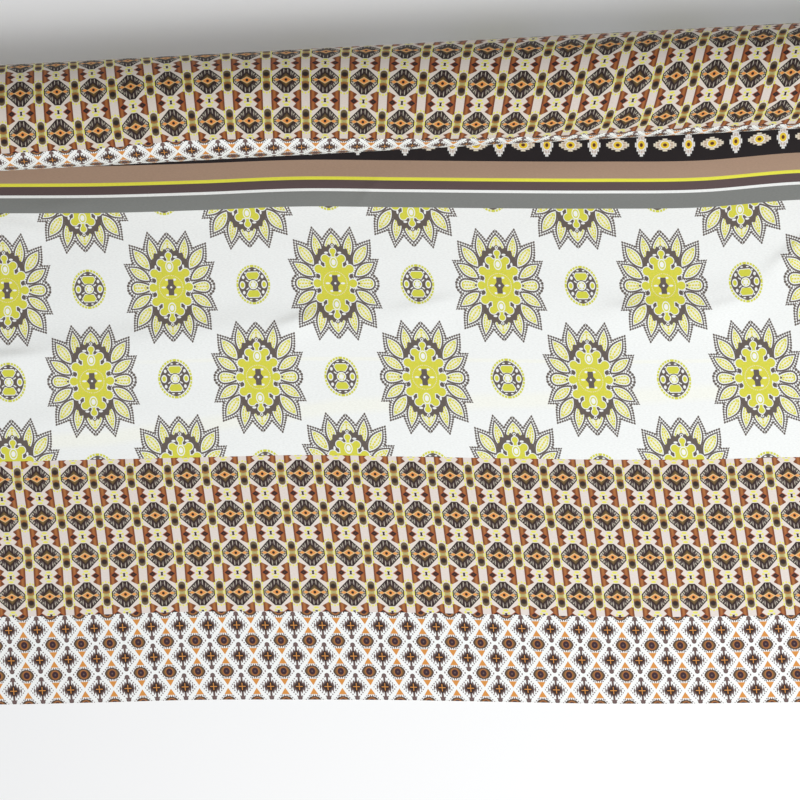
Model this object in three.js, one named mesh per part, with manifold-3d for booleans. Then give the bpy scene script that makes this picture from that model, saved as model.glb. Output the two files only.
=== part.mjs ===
// A roll of printed viscose dress fabric with its free end laid out in front of it.
//
// The cloth is one length, 1.4 m wide. Its free end lies face up on the table. It passes under the
// roll, is folded back behind it, and comes forward face down to the line that the roll stands on.
// There it turns up round the front of the roll, over the top and down the back, as the outer turn.
// The turns under that one share a rounded solid, with the spiral of their edges at each end.
//
// Millimetres. +X runs along the width of the cloth, +Y from the cut end to the roll, +Z up.
// The origin is on the table, in the middle of the footprint.

import * as THREE from "three";
import { mergeVertices } from "three/addons/utils/BufferGeometryUtils.js";
import Module from "manifold-3d";

// Driving sizes
const CLOTH_WIDTH = 1400;
const WALL = 1.5; // the modelled thickness of one layer of cloth
const GAP = 0.3; // between layers that touch
const ROLL_RADIUS = 40;
const ROLL_SLOPE = 0.0531; // the roll lies askew: its axis goes back by this share of its length
const LENGTH_TO_CUT_END = 405; // from the start of the printed stripes to the cut end
const TUCK_DEPTH = 27; // from the line under the roll to the fold behind it
const TURN_OF_PRINT = Math.atan(ROLL_SLOPE);

// Where the cloth lies across the table
const SHEET_MIDDLE_X = -12;
const ROLL_MIDDLE_X = -34;
const CONTACT_Y = 188; // the line under the roll, at x = 0
const ROLL_MIDDLE_Y = CONTACT_Y + ROLL_SLOPE * ROLL_MIDDLE_X;
const ROLL_AXIS_Z = 2 * WALL + 2 * GAP + ROLL_RADIUS;
const TURN_INSET = WALL + GAP; // how far each turn lies inside the one before it
const FOOTPRINT_MIDDLE = { x: -0.6, y: -3.1 }; // the tables below are moved by this to the origin

// Where the crosswise lines of the cloth lie. Each row is one line of the print, at a distance
// `along` the cloth from the start of the stripes. `shift` is how far the line has slid sideways,
// `stretch` how wide it lies, and y1 to y5 where it lies at x = -300, -150, 0, 150 and 300.
const LINE_STATIONS = [-300, -150, 0, 150, 300];
const CLOTH_LINES = [
  { along: 0, shift: -10, stretch: 0.988, y1: 132.0, y2: 138.0, y3: 140.3, y4: 139.5, y5: 146.6 },
  { along: 12.8, shift: -8.5, stretch: 0.988, y1: 121.9, y2: 124.8, y3: 127.5, y4: 126.6, y5: 133.7 },
  { along: 35.4, shift: -6, stretch: 0.988, y1: 98.3, y2: 102.5, y3: 105.0, y4: 104.1, y5: 110.6 },
  { along: 93.8, shift: 0, stretch: 0.988, y1: 41.6, y2: 45.5, y3: 47.4, y4: 45.8, y5: 51.0 },
  { along: 163.5, shift: 5.3, stretch: 1.002, y1: -26.6, y2: -23.6, y3: -22.5, y4: -24.8, y5: -22.5 },
  { along: 222.4, shift: 12.5, stretch: 1.011, y1: -85.9, y2: -82.9, y3: -82.1, y4: -84.4, y5: -82.5 },
  { along: 339, shift: 25.5, stretch: 1.018, y1: -202.5, y2: -198.0, y3: -198.8, y4: -202.0, y5: -200.5 },
  { along: 405, shift: 31.5, stretch: 1.021, y1: -268.1, y2: -264.4, y3: -264.8, y4: -267.4, y5: -266.3 },
];

// Soft folds of the laid cloth. Each runs through (x, y) with a slope and a bend, for `reach` to
// either side, `high` over the table, `back` and `front` wide on its two sides.
const FOLDS = [
  { x: -200, y: 3, slope: 0.13, bend: 0, reach: 330, high: 4.0, back: 11, front: 26 },
  { x: 205, y: 28, slope: 0.12, bend: 0.003, reach: 135, high: 3.2, back: 12, front: 24 },
  { x: -60, y: 118, slope: 0.053, bend: 0, reach: 560, high: 2.2, back: 14, front: 16 },
  { x: -250, y: -55, slope: 0.08, bend: 0, reach: 110, high: 1.4, back: 12, front: 14 },
  { x: 150, y: -150, slope: 0.05, bend: 0, reach: 170, high: 1.2, back: 16, front: 18 },
  { x: -560, y: -120, slope: -0.12, bend: 0, reach: 130, high: 3.0, back: 14, front: 22 },
  { x: 520, y: -90, slope: 0.15, bend: 0, reach: 150, high: 3.4, back: 13, front: 24 },
];
const RESTING = 0.15; // what is lower than this lies flat on the table

// Soft swellings of the outer turn: `at` along the roll, for `reach` to either side, round the
// direction `angle` from the underside towards the front, `spread` degrees to either side.
const SWELLINGS = [
  { at: -560, reach: 130, angle: 150, spread: 60, high: 0.9 },
  { at: -290, reach: 120, angle: 175, spread: 70, high: 0.8 },
  { at: 20, reach: 140, angle: 140, spread: 55, high: 0.7 },
  { at: 260, reach: 110, angle: 200, spread: 70, high: 0.9 },
  { at: 520, reach: 140, angle: 160, spread: 60, high: 1.0 },
];

// How finely the solids are made
const COLUMNS = 36;
const ROWS_ALONG = [
  405, 370, 335, 300, 268, 244, 224, 206, 190, 176, 164, 153, 142, 132, 122, 113, 104, 95, 86, 76, 64,
  52, 41, 32, 24, 16, 8, 0,
];
const HIDDEN_STEPS = 4;
const FOLD_STEPS = 4;
const RETURN_STEPS = 2;
const TURN_STEPS = 32;
const ROLL_STATIONS = 14;
const BODY_SIDES = 40;
const SPIRAL_TURNS = 7;
const SPIRAL_SIDES = 20;
const SPIRAL_WIDTH = 1.1;
const SPIRAL_DEPTH = 2;
const EYE_RADIUS = 3; // the spiral's inner end
const TURN_END_GAP = 1.5; // degrees left open where the outer turn meets its own start

// A smooth curve through values at rising stations, level beyond the first and the last.
function smoothThrough(stations, values, x) {
  const last = stations.length - 1;
  if (x <= stations[0]) return values[0];
  if (x >= stations[last]) return values[last];
  const i = stations.findIndex((station) => station > x) - 1;
  const u = (x - stations[i]) / (stations[i + 1] - stations[i]);
  const before = values[Math.max(i - 1, 0)];
  const [from, to] = [values[i], values[i + 1]];
  const after = values[Math.min(i + 2, last)];
  const cubic = 3 * (from - to) + after - before;
  const square = 2 * before - 5 * from + 4 * to - after;
  return from + 0.5 * u * (to - before + u * (square + u * cubic));
}

// Where a point of the cloth lies on the table, from its place across and along the cloth.
function tablePoint(across, along) {
  const after = CLOTH_LINES.findIndex((line) => line.along >= along);
  const near = CLOTH_LINES[Math.max(after - 1, 0)];
  const far = CLOTH_LINES[Math.max(after, 1)];
  const share = (along - near.along) / (far.along - near.along);
  const lineY = (line, x) =>
    smoothThrough(LINE_STATIONS, [line.y1, line.y2, line.y3, line.y4, line.y5], x);
  const lineX = (line) => line.shift + line.stretch * across;
  const x = THREE.MathUtils.lerp(lineX(near), lineX(far), share);
  return new THREE.Vector2(x, THREE.MathUtils.lerp(lineY(near, x), lineY(far, x), share));
}

const contactY = (x) => CONTACT_Y + ROLL_SLOPE * x;

// How high the laid cloth stands over the table.
function liftAt(x, y) {
  let lift = 0;
  for (const fold of FOLDS) {
    const off = x - fold.x;
    if (Math.abs(off) >= fold.reach) continue;
    const along = Math.cos((Math.PI / 2) * (off / fold.reach)) ** 2;
    const across = y - (fold.y + fold.slope * off + fold.bend * off * off);
    const width = across > 0 ? fold.back : fold.front;
    lift += fold.high * along * Math.exp(-((across / width) ** 2));
  }
  const clearOfRoll = THREE.MathUtils.smoothstep(contactY(x) - y, 8, 34);
  return Math.max(0, lift * clearOfRoll - RESTING);
}

// A closed wall from two grids of points, rows of equal length, `outer` on the side that faces out.
function wallGeometry(outer, inner) {
  const rows = outer.length;
  const columns = outer[0].length;
  const positions = [...outer.flat(), ...inner.flat()].flatMap((p) => [p.x, p.y, p.z]);
  const index = [];
  const last = columns - 1;
  const at = (side, row, column) => side * rows * columns + row * columns + column;
  const quad = (a, b, c, d) => index.push(a, b, c, a, c, d);
  for (let row = 0; row < rows - 1; row++) {
    for (let column = 0; column < columns - 1; column++) {
      quad(at(0, row, column), at(0, row, column + 1), at(0, row + 1, column + 1), at(0, row + 1, column));
      quad(at(1, row, column), at(1, row + 1, column), at(1, row + 1, column + 1), at(1, row, column + 1));
    }
  }
  for (let row = 0; row < rows - 1; row++) {
    quad(at(0, row + 1, 0), at(1, row + 1, 0), at(1, row, 0), at(0, row, 0));
    quad(at(0, row, last), at(1, row, last), at(1, row + 1, last), at(0, row + 1, last));
  }
  const end = rows - 1;
  for (let column = 0; column < last; column++) {
    quad(at(0, 0, column), at(1, 0, column), at(1, 0, column + 1), at(0, 0, column + 1));
    quad(at(0, end, column + 1), at(1, end, column + 1), at(1, end, column), at(0, end, column));
  }
  const geometry = new THREE.BufferGeometry();
  geometry.setAttribute("position", new THREE.Float32BufferAttribute(positions, 3));
  geometry.setIndex(index);
  return geometry;
}

// The free end: laid out flat with its soft folds, then the tuck behind the roll.
function laidLength() {
  const upper = [];
  const lower = [];
  const acrossOf = (column) => SHEET_MIDDLE_X + CLOTH_WIDTH * (column / COLUMNS - 0.5);
  const columns = Array.from({ length: COLUMNS + 1 }, (_, column) => acrossOf(column));
  const addRow = (upperPoint, lowerPoint) => {
    upper.push(columns.map(upperPoint));
    lower.push(columns.map(lowerPoint));
  };
  for (const along of ROWS_ALONG) {
    const laid = (rise) => (across) => {
      const p = tablePoint(across, along);
      return new THREE.Vector3(p.x, p.y, liftAt(p.x, p.y) + rise);
    };
    addRow(laid(WALL), laid(0));
  }
  for (let step = 1; step <= HIDDEN_STEPS; step++) {
    const hidden = (rise) => (across) => {
      const p = tablePoint(across, 0);
      const y = THREE.MathUtils.lerp(p.y, contactY(p.x) + TUCK_DEPTH, step / HIDDEN_STEPS);
      return new THREE.Vector3(p.x, y, liftAt(p.x, y) + rise);
    };
    addRow(hidden(WALL), hidden(0));
  }
  const foldMiddleZ = WALL + GAP / 2;
  for (let step = 1; step <= FOLD_STEPS; step++) {
    const turned = (Math.PI * step) / FOLD_STEPS;
    const folded = (radius) => (across) => {
      const p = tablePoint(across, 0);
      const y = contactY(p.x) + TUCK_DEPTH + radius * Math.sin(turned);
      return new THREE.Vector3(p.x, y, foldMiddleZ - radius * Math.cos(turned));
    };
    addRow(folded(GAP / 2), folded(GAP / 2 + WALL));
  }
  for (let step = 1; step <= RETURN_STEPS; step++) {
    const returned = (height) => (across) => {
      const p = tablePoint(across, 0);
      const y = contactY(p.x) + TUCK_DEPTH * (1 - step / RETURN_STEPS);
      return new THREE.Vector3(p.x, y, height);
    };
    addRow(returned(WALL + GAP), returned(2 * WALL + GAP));
  }
  return wallGeometry(upper, lower);
}

// How far the outer turn swells, in millimetres, `at` along the roll and `angle` degrees round it.
function swellingAt(at, angle) {
  let swelling = 0;
  for (const soft of SWELLINGS) {
    const alongShare = Math.abs(at - soft.at) / soft.reach;
    const roundShare = Math.abs(angle - soft.angle) / soft.spread;
    if (alongShare >= 1 || roundShare >= 1) continue;
    const fadeAlong = Math.cos((Math.PI / 2) * alongShare) ** 2;
    const fadeRound = Math.cos((Math.PI / 2) * roundShare) ** 2;
    swelling += soft.high * fadeAlong * fadeRound;
  }
  return swelling;
}

// A point round the roll's own axis: `angle` degrees from the underside towards the front.
function rollPoint(at, angle, radius) {
  const turned = THREE.MathUtils.degToRad(angle);
  return new THREE.Vector3(at, -radius * Math.sin(turned), -radius * Math.cos(turned));
}

// The outer turn, from the line under the roll all round to just short of itself.
function outerTurn() {
  const outside = [];
  const inside = [];
  for (let step = 0; step <= TURN_STEPS; step++) {
    const angle = (360 - TURN_END_GAP) * (step / TURN_STEPS);
    const radius = ROLL_RADIUS - TURN_INSET * (angle / 360);
    const outsideRow = [];
    const insideRow = [];
    for (let station = 0; station <= ROLL_STATIONS; station++) {
      const at = CLOTH_WIDTH * (station / ROLL_STATIONS - 0.5);
      const swelling = swellingAt(at, angle);
      outsideRow.push(rollPoint(at, angle, radius + swelling));
      insideRow.push(rollPoint(at, angle, radius - WALL + swelling));
    }
    outside.push(outsideRow);
    inside.push(insideRow);
  }
  return wallGeometry(outside, inside);
}

// Turns a mesh's triangles into a solid that can be cut, and back again.
const wasm = await Module();
wasm.setup();

function asSolid(geometry) {
  const bare = geometry.index ? geometry.toNonIndexed() : geometry.clone();
  bare.deleteAttribute("normal");
  bare.deleteAttribute("uv");
  const merged = mergeVertices(bare, 1e-3);
  return new wasm.Manifold(
    new wasm.Mesh({
      numProp: 3,
      vertProperties: merged.attributes.position.array,
      triVerts: new Uint32Array(merged.index.array),
    }),
  );
}

function asGeometry(solid) {
  const mesh = solid.getMesh();
  const geometry = new THREE.BufferGeometry();
  geometry.setAttribute("position", new THREE.BufferAttribute(mesh.vertProperties, 3));
  geometry.setIndex(new THREE.BufferAttribute(mesh.triVerts, 1));
  return geometry;
}

// The groove between the turns at one end of the roll, as a strip wound inwards.
function spiralGroove(end) {
  const outerRadius = ROLL_RADIUS - 2 * TURN_INSET - 2 * SPIRAL_WIDTH;
  const pitch = (outerRadius - EYE_RADIUS) / SPIRAL_TURNS;
  const deep = [];
  const open = [];
  for (let step = 0; step <= SPIRAL_TURNS * SPIRAL_SIDES; step++) {
    const angle = (360 * step) / SPIRAL_SIDES;
    const radius = outerRadius - pitch * (angle / 360);
    const bottom = end * (CLOTH_WIDTH / 2 - SPIRAL_DEPTH);
    const mouth = end * (CLOTH_WIDTH / 2 + SPIRAL_DEPTH);
    const [low, high] = end > 0 ? [bottom, mouth] : [mouth, bottom];
    deep.push([rollPoint(low, angle, radius), rollPoint(high, angle, radius)]);
    open.push([rollPoint(low, angle, radius - SPIRAL_WIDTH), rollPoint(high, angle, radius - SPIRAL_WIDTH)]);
  }
  return wallGeometry(deep, open);
}

// The turns under the outer one, as one rounded solid with the spiral of their edges at each end.
function rollBody() {
  const outline = [];
  for (let side = 0; side <= BODY_SIDES; side++) {
    const angle = (360 * side) / BODY_SIDES;
    const radius = ROLL_RADIUS - TURN_INSET * (1 + angle / 360);
    const p = rollPoint(0, angle, radius);
    outline.push(new THREE.Vector2(p.y, p.z));
  }
  const block = new THREE.ExtrudeGeometry(new THREE.Shape(outline), {
    depth: CLOTH_WIDTH,
    bevelEnabled: false,
  });
  block.translate(0, 0, -CLOTH_WIDTH / 2);
  // The outline is drawn in Y and Z, and the length runs along X.
  block.applyMatrix4(
    new THREE.Matrix4().makeBasis(
      new THREE.Vector3(0, 1, 0),
      new THREE.Vector3(0, 0, 1),
      new THREE.Vector3(1, 0, 0),
    ),
  );
  let solid = asSolid(block);
  for (const end of [-1, 1]) solid = solid.subtract(asSolid(spiralGroove(end)));
  return asGeometry(solid);
}

// Materials: the printed cloth's own mean colour on each stretch
const laidCloth = new THREE.MeshStandardMaterial({ color: 0xd9d6c8, roughness: 0.85, metalness: 0 });
const turnCloth = new THREE.MeshStandardMaterial({ color: 0xa08a72, roughness: 0.85, metalness: 0 });
const layerEdges = new THREE.MeshStandardMaterial({ color: 0xdedad0, roughness: 0.9, metalness: 0 });

function named(name, geometry, material) {
  const mesh = new THREE.Mesh(geometry, material);
  mesh.name = name;
  return mesh;
}

const rollOfCloth = new THREE.Group();
rollOfCloth.position.set(ROLL_MIDDLE_X, ROLL_MIDDLE_Y, ROLL_AXIS_Z);
rollOfCloth.rotation.z = TURN_OF_PRINT;
rollOfCloth.add(named("roll_outer_turn", outerTurn(), turnCloth));
rollOfCloth.add(named("roll_body", rollBody(), layerEdges));

const fabric = new THREE.Group();
fabric.position.set(-FOOTPRINT_MIDDLE.x, -FOOTPRINT_MIDDLE.y, 0);
fabric.add(named("laid_length", laidLength(), laidCloth));
fabric.add(rollOfCloth);

export default fabric;
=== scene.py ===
import math
from collections import namedtuple

import bmesh
import bpy
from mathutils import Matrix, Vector, noise


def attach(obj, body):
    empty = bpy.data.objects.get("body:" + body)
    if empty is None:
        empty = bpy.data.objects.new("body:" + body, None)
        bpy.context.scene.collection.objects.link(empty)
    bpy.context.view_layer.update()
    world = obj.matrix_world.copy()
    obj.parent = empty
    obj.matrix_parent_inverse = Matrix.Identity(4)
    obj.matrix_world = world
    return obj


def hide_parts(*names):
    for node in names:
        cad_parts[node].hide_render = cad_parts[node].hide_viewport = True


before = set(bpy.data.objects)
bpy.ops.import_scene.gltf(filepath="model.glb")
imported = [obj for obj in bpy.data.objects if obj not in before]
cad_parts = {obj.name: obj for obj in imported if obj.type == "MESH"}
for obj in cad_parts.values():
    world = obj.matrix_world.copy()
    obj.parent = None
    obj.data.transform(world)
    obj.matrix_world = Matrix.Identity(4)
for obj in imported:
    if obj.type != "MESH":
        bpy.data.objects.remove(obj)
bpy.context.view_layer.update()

bl_info = {
    "name": "Printed viscose on the roll",
    "version": (1, 0, 0),
    "blender": (4, 5, 0),
    "location": "3D View > Sidebar > Viscose",
    "description": "A roll of border-printed viscose dress fabric with its free end laid out",
    "category": "Object",
}

# All sizes are in millimetres until a point is placed, and MM makes them metres.
MM = 0.001

# The cloth and its roll, as the solids have them
CLOTH_WIDTH = 1400
WALL = 1.5
GAP = 0.3
ROLL_RADIUS = 40
ROLL_SLOPE = 0.0531
TUCK_DEPTH = 27
SHEET_MIDDLE_X = -12
ROLL_MIDDLE_X = -34
CONTACT_Y = 185.6
ROLL_MIDDLE_Y = CONTACT_Y + ROLL_SLOPE * ROLL_MIDDLE_X
ROLL_AXIS_Z = 2 * WALL + 2 * GAP + ROLL_RADIUS
TURN_INSET = WALL + GAP
FOOTPRINT_MIDDLE = Vector((-0.6, -3.1, 0))
ROLL_TURN = math.atan(ROLL_SLOPE)

# Distances along the cloth, from the start of the printed stripes towards the cut end
TAUPE_TO_LIME = 12.75
LIME_TO_BROWN = 15.2
BROWN_TO_WHITE = 21.75
WHITE_TO_GREY = 23.8
STRIPES_END = 35.25
FLOWERS_END = 222.4
IKAT_END = 339.4
CUT_END = 405

# Where the crosswise lines of the print lie on the table: how far along the cloth each line is,
# and its height in the picture at nine places across
STATIONS = [-300, -225, -150, -75, 0, 75, 150, 225, 300]
LINES_OF_PRINT = [
    (0, (134.9, 135.6, 137.7, 140.3, 139.9, 139.2, 139.0, 139.8, 145.8)),
    (TAUPE_TO_LIME, (122.4, 122.9, 125.0, 127.8, 127.2, 126.5, 126.2, 127.1, 133.0)),
    (STRIPES_END, (100.2, 100.4, 102.5, 105.3, 104.7, 104.0, 103.7, 104.6, 110.4)),
    (93.0, (42.3, 43.5, 45.3, 47.7, 47.3, 46.1, 45.9, 46.5, 51.4)),
    (162.9, (-26.6, -25.5, -23.3, -22.3, -22.5, -23.5, -24.8, -24.0, -22.9)),
    (FLOWERS_END, (-85.9, -84.4, -82.7, -81.0, -82.1, -83.4, -84.4, -84.3, -82.5)),
    (IKAT_END, (-202.5, -200.6, -198.4, -198.4, -199.1, -200.6, -202.1, -202.3, -200.9)),
    (CUT_END, (-268.1, -266.5, -264.6, -264.4, -264.8, -266.1, -267.4, -267.3, -266.3)),
]
# How the cloth lies sideways, by how far along it is: how far it has slid, and its spread
SLIDES = [
    (-60, -12.0, 0.990),
    (24, -6.0, 0.990),
    (93, 0.0, 0.988),
    (162.9, 5.2, 1.001),
    (236, 12.9, 1.0116),
    (265.6, 17.3, 1.0115),
    (295.2, 21.6, 1.0134),
    (324.8, 24.8, 1.0186),
    (349.4, 27.4, 1.0205),
    (395, 31.8, 1.0225),
]

# Soft folds of the laid cloth: each runs through (x, y) with a slope and a bend, for `reach` to
# either side, `high` over the table, `back` and `front` wide on its two sides.
Fold = namedtuple("Fold", "x y slope bend reach high back front")
FOLDS = [
    Fold(-200, 3, 0.127, 0, 330, 3.2, 13, 26),
    Fold(-292, -7.5, 0.05, 0, 42, 2.9, 4.5, 12),
    Fold(-78, 19.5, 0.31, 0, 34, 2.8, 4.5, 13),
    Fold(18, 31, 0.2, 0, 40, 1.9, 5, 14),
    Fold(170, 29.5, 0.12, 0, 38, 1.2, 5, 14),
    Fold(242, 31, 0.25, 0, 34, 1.8, 4.5, 13),
    Fold(292, 72, 0.8, 0, 26, 2.3, 5, 12),
    Fold(-282, 89, -0.2, 0, 34, 1.4, 5, 12),
    Fold(-255, 105, 0.1, 0, 40, 0.8, 5, 9),
    Fold(-24, 117, 1.2, 0, 16, 0.9, 4, 7),
    Fold(205, 28, 0.12, 0.003, 135, 2.6, 12, 24),
    Fold(-60, 118, 0.053, 0, 560, 2.2, 14, 16),
    Fold(-250, -55, 0.08, 0, 110, 1.4, 12, 14),
    Fold(150, -150, 0.05, 0, 170, 1.2, 16, 18),
    Fold(-560, -120, -0.12, 0, 130, 3.0, 14, 22),
    Fold(520, -90, 0.15, 0, 150, 3.4, 13, 24),
]
# The ripples all over the laid cloth: how high they go, and about which height. Less than
# RESTING lies flat on the table.
RIPPLE_HIGH = 0.35
RIPPLE_MIDDLE = 0.2
RESTING = 0.15
# How far in front of the roll's line the cloth is still pressed flat, and is free to rise
PRESSED_FLAT = 8
FREE_OF_ROLL = 34

# Soft swellings of the outer turn, `at` along the roll, `angle` round it from the underside
Swelling = namedtuple("Swelling", "at reach angle spread high")
SWELLINGS = [
    Swelling(-560, 130, 150, 60, 0.9),
    Swelling(-290, 120, 175, 70, 0.8),
    Swelling(20, 140, 140, 55, 0.7),
    Swelling(260, 110, 200, 70, 0.9),
    Swelling(520, 140, 160, 60, 1.0),
]

# How the print lies on the outer turn, at places along it: how far it has slid sideways, where
# the ikat's first row of octagons runs, in millimetres round from the frontmost line, and how far
# the columns lean from square, in degrees.
TURN_PRINT = [
    (-245, -9.8, 46.6, 0.3),
    (-189, -9.6, 46.4, 3.5),
    (-133, -9.5, 49.2, 3.7),
    (-78, -9.2, 48.0, 0),
    (-22, -9.2, 44.8, -2.8),
    (33, -8.9, 39.8, -6),
    (89, -8.5, 34.9, -10),
    (144, -8.3, 32.1, -13.5),
    (200, -8.3, 32.2, -16.2),
    (256, -8.6, 33.4, -15.8),
    (312, -8.9, 31.2, -16.5),
]
TURN_STRETCH = 1.07
# How far the diamonds have slipped sideways there
DIAMOND_SLIP = ((-246, -163, -82, 82, 300), (4.0, 6.1, 6.9, 6.4, 6.0))
FRONTMOST = math.pi / 2 * ROLL_RADIUS
ROW_TO_IKAT_END = 14.6 * TURN_STRETCH

# The camera is straight over the middle of the picture.
PICTURE_WIDTH = 600
PICTURE_MIDDLE = Vector((0, -39.75, 0)) - FOOTPRINT_MIDDLE
CAMERA_HEIGHT = 4000
SENSOR = 36


def smooth_through(stations, values, x):
    """A smooth curve through values at rising stations, level beyond the first and the last."""
    last = len(stations) - 1
    if x <= stations[0]:
        return values[0]
    if x >= stations[last]:
        return values[last]
    i = next(n for n, station in enumerate(stations) if station > x) - 1
    u = (x - stations[i]) / (stations[i + 1] - stations[i])
    before, start = values[max(i - 1, 0)], values[i]
    end, after = values[i + 1], values[min(i + 2, last)]
    cubic = 3 * (start - end) + after - before
    square = 2 * before - 5 * start + 4 * end - after
    return start + 0.5 * u * (end - before + u * (square + u * cubic))


def straight_through(stations, values, x):
    """Straight lines through values at rising stations, carried on beyond both ends."""
    i = next((n for n, station in enumerate(stations) if station > x), len(stations) - 1)
    i = max(i, 1)
    u = (x - stations[i - 1]) / (stations[i] - stations[i - 1])
    return values[i - 1] + u * (values[i] - values[i - 1])


def smooth_step(low, high, value):
    u = min(max((value - low) / (high - low), 0), 1)
    return u * u * (3 - 2 * u)


def table_point(across, along):
    """Where a point of the cloth lies on the table."""
    alongs, shifts, spreads = zip(*SLIDES)
    shift = straight_through(alongs, shifts, along)
    x = shift + straight_through(alongs, spreads, along) * across
    alongs, lines = zip(*LINES_OF_PRINT)
    heights = [smooth_through(STATIONS, line, x) for line in lines]
    return x, straight_through(alongs, heights, along)


def contact_y(x):
    """The line under the roll that it stands on."""
    return CONTACT_Y + ROLL_SLOPE * x


def lift_at(x, y):
    """How high the laid cloth stands over the table."""
    lift = 0
    for fold in FOLDS:
        off = x - fold.x
        if abs(off) >= fold.reach:
            continue
        fade = math.cos(math.pi / 2 * off / fold.reach) ** 2
        over = y - (fold.y + fold.slope * off + fold.bend * off * off)
        width = fold.back if over > 0 else fold.front
        lift += fold.high * fade * math.exp(-((over / width) ** 2))
    clear_of_roll = smooth_step(PRESSED_FLAT, FREE_OF_ROLL, contact_y(x) - y)
    broad = noise.noise(Vector((x / 70, y / 28, 3.1)))
    fine = noise.noise(Vector((x / 25, y / 14, 7.7)))
    ripple = RIPPLE_HIGH * (0.5 * broad + 0.5 * fine) + RIPPLE_MIDDLE
    return max(0, (lift + ripple) * clear_of_roll - RESTING)


def swelling_at(at, angle):
    """How far the outer turn swells, at a place along the roll and an angle round it."""
    swelling = 0
    for soft in SWELLINGS:
        aside, round_it = abs(at - soft.at) / soft.reach, abs(angle - soft.angle) / soft.spread
        if aside < 1 and round_it < 1:
            fade = math.cos(math.pi / 2 * aside) * math.cos(math.pi / 2 * round_it)
            swelling += soft.high * fade * fade
    return swelling


def roll_point(at, angle, radius):
    """A point round the roll's axis, `angle` degrees from the underside towards the front."""
    turned = math.radians(angle)
    out, up = -radius * math.sin(turned), -radius * math.cos(turned)
    x = ROLL_MIDDLE_X + at * math.cos(ROLL_TURN) - out * math.sin(ROLL_TURN)
    y = ROLL_MIDDLE_Y + at * math.sin(ROLL_TURN) + out * math.cos(ROLL_TURN)
    return Vector((x, y, ROLL_AXIS_Z + up))


def placed(point):
    """A point of the tables above, in the part's own frame, in metres."""
    return (Vector(point) - FOOTPRINT_MIDDLE) * MM


def spaced(start, end, step):
    """Values from start to end, evenly spaced and about a step apart."""
    count = max(1, round(abs(end - start) / step))
    return [start + (end - start) * n / count for n in range(count + 1)]


def spaced_through(ends, steps):
    """The same through several ends, with a step of its own from each one to the next."""
    values = [ends[0]]
    for start, end, step in zip(ends, ends[1:], steps):
        values += spaced(start, end, step)[1:]
    return values


class Flow:
    """What comes out of a node."""

    def __init__(self, tree, socket):
        self.tree, self.socket = tree, socket


class Field(Flow):
    """A number that varies over the cloth, built up from Math nodes."""

    def math(self, operation, *others, clamp=False):
        return made(self.tree, "Math", (self, *others), operation=operation, use_clamp=clamp)

    def sine(self):
        return self.math("SINE")

    def __add__(self, other):
        return self.math("ADD", other)

    def __sub__(self, other):
        return self.math("SUBTRACT", other)

    def __rsub__(self, other):
        return self.math("MULTIPLY_ADD", -1, other)

    def __mul__(self, other):
        return self.math("MULTIPLY", other)

    def __truediv__(self, other):
        return self.math("DIVIDE", other)

    def size(self):
        return self.math("ABSOLUTE")

    def least(self, *others):
        field = self
        for other in others:
            field = field.math("MINIMUM", other)
        return field

    def most(self, *others):
        field = self
        for other in others:
            field = field.math("MAXIMUM", other)
        return field

    def wrapped(self, pitch):
        """The distance from the nearest multiple of pitch."""
        return self.math("WRAP", pitch / 2, -pitch / 2)

    def inside(self, edge=0.15):
        """1 where the field is below 0, with a soft edge."""
        return self.math("MULTIPLY_ADD", -1 / edge, 0.5, clamp=True)

    def below(self, limit, edge=0.15):
        return self.math("MULTIPLY_ADD", -1 / edge, 0.5 + limit / edge, clamp=True)

    def above(self, limit, edge=0.15):
        return self.math("MULTIPLY_ADD", 1 / edge, 0.5 - limit / edge, clamp=True)

    def near(self, middle, reach, edge=0.15):
        """1 where the field is within a reach of its middle value."""
        return (self - middle).size().below(reach, edge)

    def profile(self, *stops):
        """The value of a broken line through (place, value) stops, for places from 0 up."""
        far = stops[-1][0]
        most = max(value for _, value in stops)
        stops = [(place / far, (value / most,) * 3 + (1,)) for place, value in stops]
        return Field(self.tree, ramp_over(self * (1 / far), stops).socket) * most


class Place(Flow):
    """A point of the print, as Vector Math nodes."""

    def vector(self, operation, *others):
        return made(self.tree, "VectorMath", (self, *others), operation=operation)

    def moved(self, x, y):
        return self.vector("ADD", (x, y, 0))

    def size(self):
        return self.vector("ABSOLUTE")

    def wrapped(self, x, y):
        return self.vector("WRAP", (x / 2, y / 2, 1), (-x / 2, -y / 2, -1))

    def distance(self, x=0, y=0, z=0):
        return self.vector("DISTANCE", (x, y, z))

    def scaled(self, x, y):
        return self.vector("MULTIPLY", (x, y, 0))

    def along(self, x, y):
        return self.vector("DOT_PRODUCT", (x, y, 0))

    def turned(self, x, y, angle, third=0):
        """Seen from a point, turned by an angle, with a third part of its own."""
        values = {"Vector": self, "Location": (x, y, -third), "Rotation": (0, 0, angle)}
        return made(self.tree, "Mapping", values, vector_type="TEXTURE")

    def all_parts(self):
        node = self.tree.nodes.new("ShaderNodeSeparateXYZ")
        self.tree.links.new(self.socket, node.inputs[0])
        return [Field(self.tree, output) for output in node.outputs]

    def parts(self):
        return self.all_parts()[:2]

    def seen_from(self, x, y):
        return self.moved(-x, -y)

    def oval(self, x, y, half_x, half_y):
        """1 on the edge of an oval about (x, y), 0 at its middle."""
        return self.seen_from(x, y).scaled(1 / half_x, 1 / half_y).distance()

    def ovals(self, *ovals):
        """The same for the nearest of several ovals, each (x, y, half_x, half_y)."""
        first, *others = (self.oval(*oval) for oval in ovals)
        return first.least(*others)


KINDS_OF_FLOW = {"VALUE": Field, "VECTOR": Place}


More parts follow.
